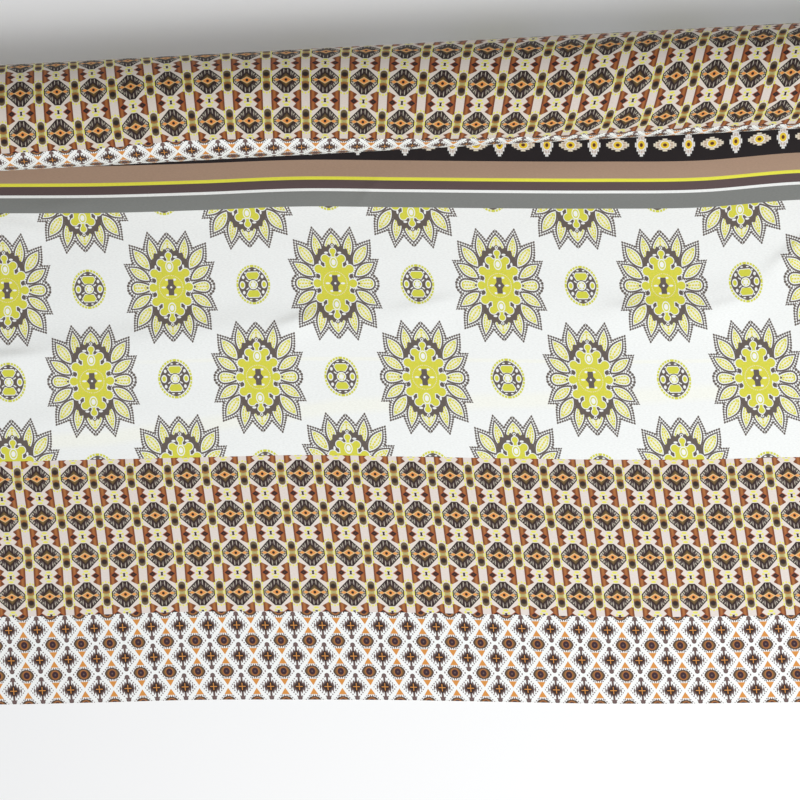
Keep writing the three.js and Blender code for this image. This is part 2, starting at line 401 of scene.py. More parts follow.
def made(tree, kind, inputs, **settings):
    """What a new node gives, with its settings and its inputs, in order or by their names."""
    node = tree.nodes.new("ShaderNode" + kind)
    for name, setting in settings.items():
        setattr(node, name, setting)
    sockets = [socket for socket in node.inputs if socket.enabled]
    if isinstance(inputs, dict):
        sockets, inputs = [node.inputs[name] for name in inputs], inputs.values()
    for socket, value in zip(sockets, inputs):
        if isinstance(value, Flow):
            tree.links.new(value.socket, socket)
        else:
            socket.default_value = value
    output = next(socket for socket in node.outputs if socket.enabled)
    return KINDS_OF_FLOW.get(output.type, Flow)(tree, output)


def ramp_over(field, stops):
    """Colours over a field from 0 to 1, through (place, colour) stops."""
    ramp = field.tree.nodes.new("ShaderNodeValToRGB")
    elements = ramp.color_ramp.elements
    while len(elements) < len(stops):
        elements.new(1.0)
    for element, (place, colour) in zip(elements, stops):
        element.position = place
        element.color = colour
    field.tree.links.new(field.socket, ramp.inputs[0])
    return Flow(field.tree, ramp.outputs[0])


def place_of(*parts):
    return made(parts[0].tree, "CombineXYZ", parts)


def distance_of(x, y):
    return place_of(x, y).distance()


def chosen(mask, here, there):
    """The place `here` where the mask is 1, and `there` where it is 0."""
    return made(mask.tree, "Mix", (mask, there, here), data_type="VECTOR")


def linear(red, green, blue):
    """A colour as a screen shows it, from 0 to 255, as the light that it stands for."""
    parts = [c / 255 for c in (red, green, blue)]
    light = [c / 12.92 if c <= 0.04045 else ((c + 0.055) / 1.055) ** 2.4 for c in parts]
    return (*light, 1)


class Dyes:
    """The colours of one stretch of the cloth, laid over each other in order."""

    def __init__(self, ground):
        self.colour = ground

    def paint(self, mask, colour):
        self.colour = made(mask.tree, "Mix", (mask, self.colour, colour), data_type="RGBA")


BLACK = linear(34, 28, 30)
TAUPE = linear(173, 145, 124)
LIME_STRIPE = linear(236, 233, 78)
DARK_BROWN = linear(94, 78, 78)
GREY = linear(128, 130, 127)
WHITE = linear(244, 246, 244)
LIME = linear(214, 214, 74)
YELLOW = linear(230, 216, 72)
PETAL_GROUND = linear(240, 241, 216)
BROWN = linear(101, 91, 85)
IVORY = linear(240, 232, 212)
GOLD = linear(248, 212, 60)
LANE_PINK = linear(228, 217, 210)
PINK_GROUND = linear(230, 219, 210)
INK = linear(52, 38, 36)
RUST = linear(124, 70, 42)
LIGHT_RUST = linear(182, 116, 62)
RED_RUST = linear(168, 88, 54)
DARK_RUST = linear(104, 58, 44)
ORANGE = linear(232, 156, 84)
CREAM = linear(238, 206, 156)
OLIVE = linear(150, 122, 66)
OLIVE_GREY = linear(118, 102, 70)
BRONZE = linear(166, 118, 60)
PALE_GREEN = linear(182, 174, 120)
LEMON = linear(233, 228, 104)
PLUM = linear(62, 41, 49)
SPIKE_BROWN = linear(106, 85, 81)
EYE_RIM = linear(84, 64, 55)
DOT_BROWN = linear(118, 98, 98)
AMBER = linear(216, 146, 72)
OLIVE_GOLD = linear(128, 98, 56)
GOLDEN_RUST = linear(168, 108, 62)
SHOWN_THROUGH = linear(249, 249, 236)
REVERSE = linear(232, 230, 222)
SELVEDGE_CLOTH = linear(238, 236, 230)
PIN_HOLE = linear(150, 144, 136)
PIN_BROWN = linear(178, 132, 100)
FADED_DROPS = linear(150, 143, 140)
FADED_STRIPES = linear(188, 178, 166)
FADED_IKAT = linear(204, 190, 170)
FADED_DIAMONDS = linear(222, 216, 208)

# Where each stripe starts, and each band as it shows on the reverse
STRIPES = (
    (TAUPE_TO_LIME, LIME_STRIPE),
    (LIME_TO_BROWN, DARK_BROWN),
    (BROWN_TO_WHITE, WHITE),
    (WHITE_TO_GREY, GREY),
)
FADED_BANDS = (
    (0, FADED_STRIPES),
    (STRIPES_END, REVERSE),
    (FLOWERS_END, FADED_IKAT),
    (IKAT_END, FADED_DIAMONDS),
)

CLOTH_MAP = "cloth"
FROM_SIDE = "from_side"


def cloth_place(tree):
    """Where a point lies across and along the cloth, in millimetres."""
    return made(tree, "UVMap", (), uv_map=CLOTH_MAP).scaled(1 / MM, 1 / MM)


# The flower band: medallions in half-drop rows, with a rosette between each two
FLOWER_PITCH = 124.55
FLOWER_ROWS = 69.85
FLOWER_START = (75.5, 93.0)
# A petal runs from its base to its tip, and `point` is how far its beaded edge runs on beyond.
Petal = namedtuple("Petal", "base_x base_y tip_x tip_y half_width point")
PETALS = [
    Petal(0, 16.5, 0, 37.7, 6.0, 1.2),
    Petal(9.8, 16.5, 13.6, 37.3, 3.4, 2.6),
    Petal(15.0, 13.9, 26.3, 29.3, 4.05, 2.2),
    Petal(15.8, 5.6, 30.3, 15.7, 3.6, 3.2),
]
TIP_TAPER = 0.4
# The loop at the side is round outwards, and two arcs about far centres run to a point inwards.
LOOP_MIDDLE = 25.6
LOOP_RADIUS = 4.0
LOOP_CENTRE = 14.5
# What runs round a petal, by how far it lies outside the petal's edge
BROWN_TO = 2.75
BEADS_AT = 1.8
BEAD_RADIUS = 0.7
BEAD_PITCH = 1.78
DOTS_AT = 3.3
DOT_RADIUS = 0.84
WHITE_TO = -0.05
GROUND_TO = -0.75
DASHES_AT = -1.35
RIB_TO = -2.0


def petal_frame(place, petal):
    """The place seen from a petal's middle, and its distance outside the petal's edge.

    The edge is an arc on each side, and the third part of the place is how far off its centre is.
    """
    run_x, run_y = petal.tip_x - petal.base_x, petal.tip_y - petal.base_y
    half = math.hypot(run_x, run_y) / 2
    middle = (petal.base_x + petal.tip_x) / 2, (petal.base_y + petal.tip_y) / 2
    centre = (half**2 - petal.half_width**2) / (2 * petal.half_width)
    local = place.turned(*middle, math.atan2(run_y, run_x) - math.pi / 2, centre)
    side, length = local.parts()
    outward = (length.most(0) * (1 / half)).math("POWER", 2)
    tapered = local.size().vector("ADD", place_of(side.size() * outward * TIP_TAPER))
    arcs = tapered.distance(-centre, 0, centre) - centre - petal.half_width
    return local, arcs.most(length.size() - half - petal.point)


def loop_frame(place):
    """The same for the loop at the medallion's side."""
    side, length = place.turned(LOOP_MIDDLE, 0, -math.pi / 2).parts()
    centre = length.math("LESS_THAN", 0) * LOOP_CENTRE
    distance = distance_of(side.size() + centre, length) - centre - LOOP_RADIUS
    return place_of(side, length, centre), distance


def paint_petals(dyes, place):
    nearest, edge = loop_frame(place)
    for petal in PETALS:
        local, distance = petal_frame(place, petal)
        nearest = chosen(distance.math("LESS_THAN", edge), local, nearest)
        edge = edge.least(distance)
    side, length, centre = nearest.all_parts()
    round_edge = length.math("ARCTAN2", side.size() + centre) * (centre + 5.4)
    bead = (round_edge + BEAD_PITCH / 2).wrapped(BEAD_PITCH)
    dots = distance_of(round_edge.wrapped(BEAD_PITCH), edge - DOTS_AT).below(DOT_RADIUS)
    dyes.paint(edge.below(BROWN_TO).most(dots), BROWN)
    dyes.paint(distance_of(bead, edge - BEADS_AT).below(BEAD_RADIUS), WHITE)
    dyes.paint(edge.below(WHITE_TO), WHITE)
    dyes.paint(edge.below(GROUND_TO, 0.5), PETAL_GROUND)
    dashes = edge.near(DASHES_AT, 0.56) * length.wrapped(2.1).size().below(0.8)
    rib_dashes = (length + 1.0).wrapped(2.3).size().below(0.86)
    rib = side.size().below(0.62) * rib_dashes * edge.below(RIB_TO)
    dyes.paint(dashes, LIME)
    dyes.paint(rib, YELLOW)


# One quarter of a medallion's middle: blocks by half their sides, lobes by middle and radius
ARCH_HALF = (15.4, 28.6)
FLOURISHES = (
    (5.0, 23.0, 1.5, 0.8), (10.4, 15.6, 0.8, 1.5),
    (8.9, 19.3, 0.55, 0.55), (9.9, 12.6, 0.5, 0.8),
)
BODY_BLOCKS = ((10.9, 12.0), (6.4, 19.6), (1.15, 23))
BODY_LOBES = ((0, 24.1, 2.25), (6.2, 18.6, 2.8), (11.7, 10.8, 3.2), (13.5, 0, 3.1))


def paint_arches(dyes, place):
    """The scrolled brown arches over and under the body, with white flourishes."""
    x, y = place.parts()
    turn = y.math("ARCTAN2", x * 1.9)
    scallops = (turn * 26).sine() * 0.09
    arch = (x / ARCH_HALF[0]).math("POWER", 3) + (y / ARCH_HALF[1]).math("POWER", 3) + scallops
    knot = place.distance(0, 28.2) - 1.9
    dyes.paint((arch.below(1, 0.03) * y.above(8.0)).most(knot.inside()), BROWN)
    dyes.paint(knot.near(-1.05, 0.3), WHITE)
    dyes.paint(place.ovals(*FLOURISHES).below(1, 0.2), WHITE)
    dyes.paint(place.oval(17.6, 0, 1.3, 0.8).below(1, 0.2), BROWN)


def paint_body(dyes, place):
    """The lime body: blocks and round lobes, with a pale edge."""
    x, y = place.parts()
    trunk, *blocks = ((x - half_x).most(y - half_y) for half_x, half_y in BODY_BLOCKS)
    lobes = (place.distance(*middle) - radius for *middle, radius in BODY_LOBES)
    body = trunk.least(*blocks, *lobes)
    dyes.paint(body.below(0.6), WHITE)
    dyes.paint(body.inside(), LIME)
    waves = (x * 2.3 + (y * 1.7).sine()).sine()
    mottle = waves * (y * 2.1 + (x * 1.9).sine()).sine()
    dyes.paint(mottle.above(0.25, 0.5) * body.below(-0.8) * 0.7, YELLOW)
    knob = place.distance(12.5, 5.3)
    dyes.paint(knob.below(2.1) * body.below(0.5), WHITE)
    dyes.paint(knob.below(1.6), BROWN)
    turn = y.math("ARCTAN2", x)
    dots = (turn * 40).sine().above(-0.2, 1.2)
    dyes.paint(place.distance().near(9.0, 0.3) * dots * 0.75, IVORY)
    seed = place.oval(0, 15.8, 3.0, 4.2)
    dyes.paint(seed.below(1, 0.1), WHITE)
    dyes.paint(seed.near(0.65, 0.13, 0.1), LIME)
    core = (x - 2.1).most(y - 6.1).least(x + y * 0.8 - 4.0)
    corners = place.ovals((2.9, 5.8, 1.3, 0.8), (5.7, 0, 1.7, 0.7))
    dyes.paint(corners.below(1, 0.2), WHITE)
    dyes.paint(core.inside(), BROWN)
    dyes.paint(place.distance().below(0.8), WHITE)


def paint_rosette(dyes, place):
    """A brown oval with a dashed rim, lime blocks and discs, and a small flower in its heart."""
    x, y = place.parts()
    rim = place.oval(0, 0, 12.1, 14.2)
    dashes = (y.math("ARCTAN2", x * 1.15) * 34).sine().above(-0.7, 0.5)
    dyes.paint(rim.near(0.995, 0.06, 0.03) * dashes, LIME)
    frame_oval = place.oval(0, 0, 11.4, 13.4) * 0.8 + place.along(0.2 / 11.4, 0.2 / 13.4)
    dyes.paint(frame_oval.below(1, 0.02), BROWN)
    block = (x + (y - 7.3).size() * 0.6 - 5.0).most((y - 6.8).size() - 2.6)
    disc = place.oval(8.2, 0, 2.1, 3.0)
    heart = place.distance()
    spokes = (x * 0.66 - y).size() - 0.5
    rays = spokes.inside() * heart.below(6.5)
    dyes.paint(block.below(0.55).most(disc.below(1, 0.1), heart.below(4.0), rays), WHITE)
    dyes.paint(heart.near(3.85, 0.35), BROWN)
    dyes.paint(block.inside(), LIME)
    dyes.paint(disc.below(0.68, 0.1), LIME)
    dyes.paint((x + y * 1.6 - 6.2).most(3.6 - x).inside(), BROWN)
    petals = (y.math("ARCTAN2", x) * 8).sine().above(-0.5, 0.5)
    dyes.paint(heart.near(2.3, 0.5) * petals, LIME)
    eyes = place.ovals((7.2, 5.8, 1.0, 1.3), (5.5, 9.0, 0.6, 0.7), (2.2, 11.3, 1.0, 0.5))
    dyes.paint(eyes.below(1, 0.2), WHITE)


# Where the shown-through stripes run: the broad one by (place from the left side, place along)
BROAD_STRIPE = (
    (0, 212), (400, 209), (470, 206.5), (600, 192),
    (650, 185), (730, 181.5), (920, 173), (1400, 164),
)
THIN_STRIPE = 149.5
THIN_STRIPE_MIDDLE = 70


def paint_shown_through(dyes, spot):
    """Two faint yellow stripes of the turned-under cloth, which show through the white ground."""
    across, along = spot.parts()
    broad_line = (across + CLOTH_WIDTH / 2).profile(*BROAD_STRIPE)
    broad = along.near(broad_line, 5.2, 5.0)
    thin = along.near(THIN_STRIPE, 1.3, 1.2) * across.near(THIN_STRIPE_MIDDLE, 260, 90)
    dyes.paint(broad.most(thin) * 0.6, SHOWN_THROUGH)


def flower_print(spot):
    dyes = Dyes(WHITE)
    paint_shown_through(dyes, spot)
    start = spot.seen_from(*FLOWER_START)
    near = start.wrapped(FLOWER_PITCH, 2 * FLOWER_ROWS).size()
    far = start.moved(FLOWER_PITCH / 2, FLOWER_ROWS).wrapped(FLOWER_PITCH, 2 * FLOWER_ROWS).size()
    reach = 2 / FLOWER_PITCH, 1 / FLOWER_ROWS
    nearer = near.along(*reach).math("LESS_THAN", far.along(*reach))
    petal_place = chosen(nearer, near, far)
    paint_petals(dyes, petal_place)
    paint_arches(dyes, petal_place)
    paint_body(dyes, petal_place)
    x, y = petal_place.parts()
    aside = (x * reach[0]).math("LESS_THAN", y * reach[1])
    beside = petal_place.moved(-FLOWER_PITCH / 2, 0).size()
    above = petal_place.moved(0, -FLOWER_ROWS).size()
    paint_rosette(dyes, chosen(aside, above, beside))
    return dyes.colour


# The ikat band: octagons in columns, with a pill between each two
IKAT_PITCH = 27.88
IKAT_ROWS = 29.6
IKAT_START = (-3.4, FLOWERS_END + 13.6)
LANE_HALF_WIDTH = 3.0
# Half an octagon's width and height, and its corner by the sum of both
OCTAGON_HALF = (10.0, 9.95)
OCTAGON_CORNER = 12.2
# A pill's ends are round about a point this far off its middle.
PILL_RADIUS = 2.6
PILL_END = 5.9
# How far the rust shapes reach from their lane, by the distance from their middle row
RUST_TEETH = ((0, 7.4), (2.4, 3.9), (4.8, 6.2), (5.4, 5.4), (8.2, 0), (IKAT_ROWS / 2, 0))


def paint_octagons(dyes, place):
    """Dark octagons with pale broken strokes, and a glowing eye with a knob on each side."""
    x, y = place.parts()
    corner = (x + y - OCTAGON_CORNER) * 0.7
    octagon = (x - OCTAGON_HALF[0]).most(y - OCTAGON_HALF[1], corner)
    dyes.paint(octagon.inside(), INK)
    bars = octagon.near(-2.8, 0.8, 0.9) * (x * 4.2).sine().above(-0.3, 1.0)
    dyes.paint(bars * 0.5, DOT_BROWN)
    upright = ((x - 1.4).size() + (y - 7.8).size() * 0.08).below(0.26, 0.2) * y.above(5.6, 0.4)
    outer = ((x - 3.7).size() + (y - 5.4).size() * 0.1).below(0.24, 0.2) * y.above(3.2, 0.4)
    toothed = x + y - 10.0 + (x * 4.3).sine() * 0.95
    zigzag = toothed.size().below(0.32, 0.25) * x.above(4.2, 0.6)
    hooks = (x * 3.4).sine() * (y * 3.1).sine()
    ends = hooks.above(0.2, 0.5) * x.above(6.8, 0.5) * y.above(0.9, 0.3)
    within = octagon.below(-0.75)
    dyes.paint(upright.most(outer) * within * 0.72, IVORY)
    dyes.paint(zigzag.most(ends) * within * 0.82, IVORY)
    lozenge = x / 5.4 + y / 6.4
    dyes.paint(lozenge.below(0.62, 0.75), OLIVE)
    dyes.paint(lozenge.near(1.02, 0.09, 0.1), INK)
    eye = x / 3.9 + y / 2.35
    knob = ((x - 6.5) / 1.9).size() + y / 1.05
    link = (y - 0.15).most(x - 7.6) * 1.5 + 1
    dyes.paint(eye.least(knob, link).below(1.2, 0.1), CREAM)
    dyes.paint(eye.least(knob).below(0.98, 0.1), ORANGE)
    dyes.paint(place.distance().below(1.05), INK)


def paint_pills(dyes, column, row):
    """The olive pills in the pale lanes between the octagons, with lime marks about them."""
    beside = column.near(3.65, 0.55) * (row - 0.6).wrapped(3.0).size().below(1.05)
    ends = distance_of(column.wrapped(2.2), row + column * 0.3 - 9.9).below(0.75)
    dyes.paint((beside * row.below(8.4)).most(ends * column.below(3.3)), LEMON)
    pill = (distance_of(column, (row - PILL_END).most(0)) - PILL_RADIUS).inside()
    dyes.paint(pill, OLIVE_GREY)
    dyes.paint(row.below(3.6, 1.2) * pill, BRONZE)
    dyes.paint(distance_of(column * 0.9, row - 4.5).below(2.0, 1.1) * pill, INK)
    dyes.paint((row - column * 0.25).below(0.8, 0.8) * pill, PALE_GREEN)
    dyes.paint(row.below(1.3, 0.8) * column.near(2.3, 0.3, 0.4), LEMON)


def paint_rust_steps(dyes, from_lane, row, from_axis):
    """The stepped rust shapes on each side of a lane, with a dark gem, and the mark between."""
    shape = (from_lane - row.profile(*RUST_TEETH)).most(0 - from_lane)
    dyes.paint(shape.inside(), RUST)
    streak = from_lane.near(2.3, 1.0, 1.2) * shape.below(-0.4)
    dyes.paint(streak * 0.8, LIGHT_RUST)
    gem = (from_lane - 3.9).size() / 3.6 + row / 2.6
    dyes.paint(gem.below(1, 0.1), RED_RUST)
    dyes.paint(gem.below(0.74, 0.1), INK)
    dyes.paint(gem.below(0.18, 0.1), DARK_RUST)
    mark = (from_axis - row * 0.3 - 0.6).most(row - 1.4)
    dyes.paint(mark.inside(), INK)
    blobs = place_of(from_axis, row)
    lemon = blobs.ovals((2.0, 1.4, 0.9, 0.8), (0, 3.4, 1.9, 0.85))
    dyes.paint(lemon.below(1, 0.3), LEMON)


def ikat_print(spot):
    dyes = Dyes(PINK_GROUND)
    place = spot.seen_from(*IKAT_START).wrapped(IKAT_PITCH, IKAT_ROWS).size()
    x, y = place.parts()
    column = IKAT_PITCH / 2 - x
    dyes.paint(column.below(LANE_HALF_WIDTH, 0.4), LANE_PINK)
    paint_rust_steps(dyes, column - LANE_HALF_WIDTH - 0.05, IKAT_ROWS / 2 - y, x)
    paint_pills(dyes, column, y)
    paint_octagons(dyes, place)
    return dyes.colour


# The diamond band: spiky crosses, with an eye between each four
DIAMOND_PITCH = 20.95
DIAMOND_ROWS = 22.8
DIAMOND_START = (-0.2, IKAT_END + 10.2)
SPIKE_PITCH = 1.9
# The two dotted lines round each cross, by the share of the way to the next one
DOTTED_LINES = (0.8, 1.27)


def paint_crosses(dyes, place):
    """Brown crosses with spiky edges, a knob over and under, and an amber plus."""
    x, y = place.parts()
    plain = place.oval(0, 0, 6.4, 5.6) * 0.5 + place.along(0.5 / 7.6, 0.5 / 6.6)
    cross = plain + x.wrapped(SPIKE_PITCH).size() * 0.4
    knob = place.distance(0, 8.4) - 1.75
    stem = (x - 0.8).most(y - 7.4)
    dyes.paint(cross.below(1.05, 0.06).most(knob.least(stem).inside()), SPIKE_BROWN)
    dyes.paint(knob.below(-1.0, 0.5), DOT_BROWN)
    dyes.paint((x / 4.2 + y / 4.3).below(1, 0.35), INK)
    plus = (x - 0.3).most(y - 2.7).least((y - 0.3).most(x - 2.5))
    dyes.paint(plus.inside(), AMBER)


def paint_eyes(dyes, aside, away):
    """Round eyes with a ragged rim, and a comb and an amber triangle over and under."""
    ragged = (aside * 4.2 + away * 3).sine() * 0.14
    eye = (distance_of(aside / 5.35, away / 4.4) - 1) * 4.4 + ragged
    dyes.paint(eye.inside(), EYE_RIM)
    dyes.paint(eye.below(-1.0, 0.4), OLIVE_GOLD)
    pupil = distance_of(aside, away * 0.9)
    dyes.paint(pupil.below(3.1, 0.5) * eye.below(-0.6), GOLDEN_RUST)
    dyes.paint(pupil.below(2.3), PLUM)
    dyes.paint(pupil.below(0.6), SPIKE_BROWN)
    teeth = (aside + 0.8).wrapped(1.6).size().below(0.4)
    dyes.paint(away.near(4.8, 0.5) * teeth * aside.below(3.1), DOT_BROWN)
    triangle = (aside * 1.6 + away - 10.4).most(5.65 - away)
    dyes.paint(triangle.inside(), AMBER)


def diamond_print(spot):
    dyes = Dyes(WHITE)
    start = spot.seen_from(*DIAMOND_START)
    place = start.wrapped(DIAMOND_PITCH, DIAMOND_ROWS).size()
    x, y = place.parts()
    slope = place.along(2 / DIAMOND_PITCH, 2 / DIAMOND_ROWS)
    inner, outer = ((slope - line).size() for line in DOTTED_LINES)
    lines = inner.least(outer) * 7.7
    beads = (x - y).wrapped(2.7) * 0.72
    clear = (DIAMOND_PITCH / 2 - x).above(2.2) * (x * 0.6 + y).above(3.0)
    dyes.paint(distance_of(lines, beads).below(0.5, 0.1) * clear, DOT_BROWN)
    paint_eyes(dyes, DIAMOND_PITCH / 2 - x, DIAMOND_ROWS / 2 - y)
    paint_crosses(dyes, place)
    return dyes.colour


# The black band: ivory drops, standing and lying in turn
DROP_PITCH = 35.8
DROP_ROWS = 20.6
DROP_START = (47.4, -12.4)
# Their edges are stepped, and each step has a pin
DROP_STEP = 1.2
DROP_HALF_WIDTH = 4.72
DROP_HALF_LENGTH = 9.3


def drop_print(spot):
    dyes = Dyes(BLACK)
    start = spot.seen_from(*DROP_START)
    for aside, away, standing in ((0, 0, 1), (1, 0, 0), (1, 1, 1), (0, 1, 0)):
        place = start.moved(aside * DROP_PITCH / 2, away * DROP_ROWS)
        place = place.wrapped(DROP_PITCH, 2 * DROP_ROWS)
        side, length = place.size().parts()
        if not standing:
            side, length = length, side
        row = side.math("SNAP", DROP_STEP) + DROP_STEP / 2
        row, length_share = row / DROP_HALF_WIDTH, length / DROP_HALF_LENGTH
        drop = distance_of(row, length_share) * 0.45 + (row + length_share) * 0.55
        dyes.paint(drop.below(1, 0.06), WHITE if standing else IVORY)
        pins = side.wrapped(DROP_STEP).size().below(0.3) * drop.below(0.88, 0.1)
        dyes.paint(pins * length.wrapped(4.4).size().below(1.9) * 0.85, PIN_BROWN)
        iris = distance_of(side / 2.65, length / 3.3)
        dyes.paint(iris.below(1.25, 0.15), WHITE)
        dyes.paint(iris.below(1, 0.1), GOLD)
        dyes.paint(iris.below(0.46, 0.12), DARK_RUST)
    dyes.paint(start.parts()[1].above(DROP_HALF_LENGTH + 0.3), BLACK)
    return dyes.colour


def striped(spot, first, stripes, edge=0.15):
    """The first colour, and over it each of the stripes from where it starts."""
    dyes = Dyes(first)
    _, along = spot.parts()
    for start, colour in stripes:
        dyes.paint(along.above(start, edge), colour)
    return dyes.colour


def stripe_print(spot):
    return striped(spot, TAUPE, STRIPES)


# How far the ikat on the roll is darkened, by a gamma and a tint: painted shade on the outer turn
PAINTED_SHADE_GAMMA = 1.1
PAINTED_SHADE_TINT = (0.89, 0.89, 0.865)


def ikat_with_painted_shade_print(spot):
    """The ikat on the roll, darkened in its colour: painted shade, so that the roll's outer turn
    lies darker than the laid cloth.
    """
    painted_shade = made(spot.tree, "Gamma", {"Color": ikat_print(spot), "Gamma": PAINTED_SHADE_GAMMA})
    return made(spot.tree, "VectorMath", (painted_shade, PAINTED_SHADE_TINT), operation="MULTIPLY")


def reverse_print(spot):
    """The reverse, where the print shows through faded."""
    return striped(spot, FADED_DROPS, FADED_BANDS, 0.8)


VISCOSE = {
    "Roughness": 0.72,
    "Sheen Weight": 0.12,
    "Sheen Roughness": 0.45,
    "Specular IOR Level": 0.25,
}
THREAD = 0.33
SELVEDGE = 9
PIN_HOLE_PITCH = 5
PIN_HOLE_FROM_SIDE = 4


def weave_bump(spot):
    """A plain weave: threads over and under, with a little unevenness."""
    across, along = spot.parts()
    warp = (across * (math.pi / THREAD)).sine()
    weft = (along * (math.pi / THREAD)).sine()
    cloud = made(spot.tree, "TexNoise", {"Vector": spot, "Scale": 0.35, "Detail": 3})
    height = warp * weft * 0.5 + cloud * 1.5
    return made(spot.tree, "Bump", {"Strength": 0.12, "Distance": 0.0002, "Height": height})


def slubbed(spot, colour):
    """The colour, a little uneven along its threads."""
    drawn_out = spot.scaled(0.5, 1.6)
    streak = made(spot.tree, "TexNoise", {"Vector": drawn_out, "Scale": 1, "Detail": 2})
    return made(spot.tree, "VectorMath", (colour, streak * 0.24 + 0.88), operation="SCALE")


def with_selvedge(spot, colour):
    """The woven edge at each side, left plain, with the pin holes of the printing table."""
    dyes = Dyes(colour)
    node = spot.tree.nodes.new("ShaderNodeAttribute")
    node.attribute_name = FROM_SIDE
    from_side = Field(spot.tree, node.outputs["Fac"])
    dyes.paint(from_side.below(SELVEDGE, 0.3), SELVEDGE_CLOTH)
    from_hole = distance_of(from_side - PIN_HOLE_FROM_SIDE, spot.parts()[1].wrapped(PIN_HOLE_PITCH))
    dyes.paint(from_hole.below(0.4), PIN_HOLE)
    return dyes.colour


def new_material(name):
    material = bpy.data.materials.new(name)
    material.use_nodes = True
    return material, material.node_tree.nodes["Principled BSDF"]


def cloth_material(name, printed):
    material, shader = new_material(name)
    tree = material.node_tree
    spot = cloth_place(tree)
    colour = slubbed(spot, with_selvedge(spot, printed(spot)))
    tree.links.new(colour.socket, shader.inputs["Base Color"])
    tree.links.new(weave_bump(spot).socket, shader.inputs["Normal"])
    for name, value in VISCOSE.items():
        shader.inputs[name].default_value = value
    return material


# The stretches of the print, from the roll to the cut end, with where each one ends
Band = namedtuple("Band", "name end printed")
BANDS = [
    Band("black_with_drops", 0, drop_print),
    Band("stripes", STRIPES_END, stripe_print),
    Band("flowers", FLOWERS_END, flower_print),
    Band("ikat", IKAT_END, ikat_print),
    Band("diamonds", 1e9, diamond_print),
]
# On the roll the ikat takes its darkened copy, with painted shade in its colour
ROLL_BANDS = BANDS[:3] + [Band("ikat_with_painted_shade", IKAT_END, ikat_with_painted_shade_print)] + BANDS[4:]
REVERSE_SIDE = Band("reverse", 1e9, reverse_print)


def band_number(along):
    return next(n for n, band in enumerate(BANDS) if along < band.end)


def cloth_materials(bands):
    for band in (*bands, REVERSE_SIDE):
        yield bpy.data.materials.get(band.name) or cloth_material(band.name, band.printed)


# How finely the cloth is made: across it, along it from the cut end, in shares of the stretches
# out of sight, and by the lines of print round the roll, with how far it goes round
COLUMN_ENDS = (-CLOTH_WIDTH / 2, -320, 320, CLOTH_WIDTH / 2)
COLUMN_STEPS = (10, 3.2, 10)
LAID_ENDS = (CUT_END, IKAT_END, FLOWERS_END, STRIPES_END, 0)
LAID_STEPS = (3.6, 3.6, 2.2, 2.0)
HIDDEN_STEPS = {"hidden": 0.07, "fold": 0.125, "return": 0.5}
TURN_ENDS = (410, IKAT_END, FLOWERS_END, 208)
TURN_STEPS = (2.6, 2.6, 2.6)
TURN_DEGREES = 358


def added(name, data):
    piece = bpy.data.objects.new(name, data)
    bpy.context.scene.collection.objects.link(piece)
    return piece


def object_from(bm, name, materials):
    mesh = bpy.data.meshes.new(name)
    bm.to_mesh(mesh)
    bm.free()
    for material in materials:
        mesh.materials.append(material)
    return added(name, mesh)


def column_values(middle):
    """Places across the cloth: close together where the folds are fine, wider towards the sides."""
    return [middle + value for value in spaced_through(COLUMN_ENDS, COLUMN_STEPS)]


def picked(values, place):
    """The value at a place that runs from -1 to 1 over them all."""
    return values[round((place + 1) / 2 * (len(values) - 1))]


def cloth_from_grid(name, columns, rows, point_and_print, bands):
    """A grid of cloth in bands of print.

    point_and_print gives each point's place, its place in the print across and along the cloth,
    and how far the last band has slipped sideways there.
    """
    bm = bmesh.new()
    bmesh.ops.create_grid(bm, x_segments=len(columns) - 1, y_segments=len(rows) - 1, size=1)
    place_in_print = bm.loops.layers.uv.new(CLOTH_MAP)
    from_side = bm.verts.layers.float.new(FROM_SIDE)
    prints = {}
    for vert in bm.verts:
        column, row = picked(columns, vert.co.x), picked(rows, vert.co.y)
        point, *prints[vert.index] = point_and_print(column, row)
        vert.co = placed(point)
        vert[from_side] = min(column - columns[0], columns[-1] - column)
    for face in bm.faces:
        middle = sum(prints[vert.index][1] for vert in face.verts) / len(face.verts)
        face.material_index = band_number(middle)
        face.smooth = True
        for loop in face.loops:
            across, along, slip = prints[loop.vert.index]
            if face.material_index == len(bands) - 1:
                across += slip
            loop[place_in_print].uv = (across * MM, along * MM)
    return object_from(bm, name, cloth_materials(bands))


def thicken(piece, thickness):
    """Gives the cloth its thickness, towards its reverse, whose faces take the last material."""
    shell = piece.modifiers.new("thickness", "SOLIDIFY")
    shell.thickness = thickness * MM
    shell.offset = -1
    shell.material_offset = len(BANDS)
    shell.material_offset_rim = len(BANDS)


def laid_rows():
    """Places along the laid cloth, as (stretch, value) pairs from the cut end to the roll."""
    rows = [("laid", along) for along in spaced_through(LAID_ENDS, LAID_STEPS)]
    for stretch, step in HIDDEN_STEPS.items():
        rows += [(stretch, share) for share in spaced(0, 1, step)[1:]]
    return rows


def laid_point(across, row, cloth):
    stretch, value = row
    if stretch == "laid":
        x, y = table_point(across, value)
        return (x, y, lift_at(x, y) + cloth), across, value, 0
    x, start = table_point(across, 0)
    fold_y = contact_y(x) + TUCK_DEPTH
    hidden = fold_y - start
    if stretch == "hidden":
        y = start + hidden * value
        return (x, y, lift_at(x, y) + cloth), across, -hidden * value, 0
    radius = WALL + GAP / 2
    bend = math.pi * radius
    if stretch == "fold":
        turned = math.pi * value
        inner = radius - cloth
        z = radius - inner * math.cos(turned)
        return (x, fold_y + inner * math.sin(turned), z), across, -hidden - bend * value, 0
    y = fold_y - TUCK_DEPTH * value
    return (x, y, 2 * radius - cloth), across, -hidden - bend - TUCK_DEPTH * value, 0


def turn_rows():
    """Lines of print round the outer turn, from the line it stands on over the top to the back."""
    lines = [("line", along) for along in spaced_through(TURN_ENDS, TURN_STEPS)]
    return [("start", 0), *lines, ("end", 0)]


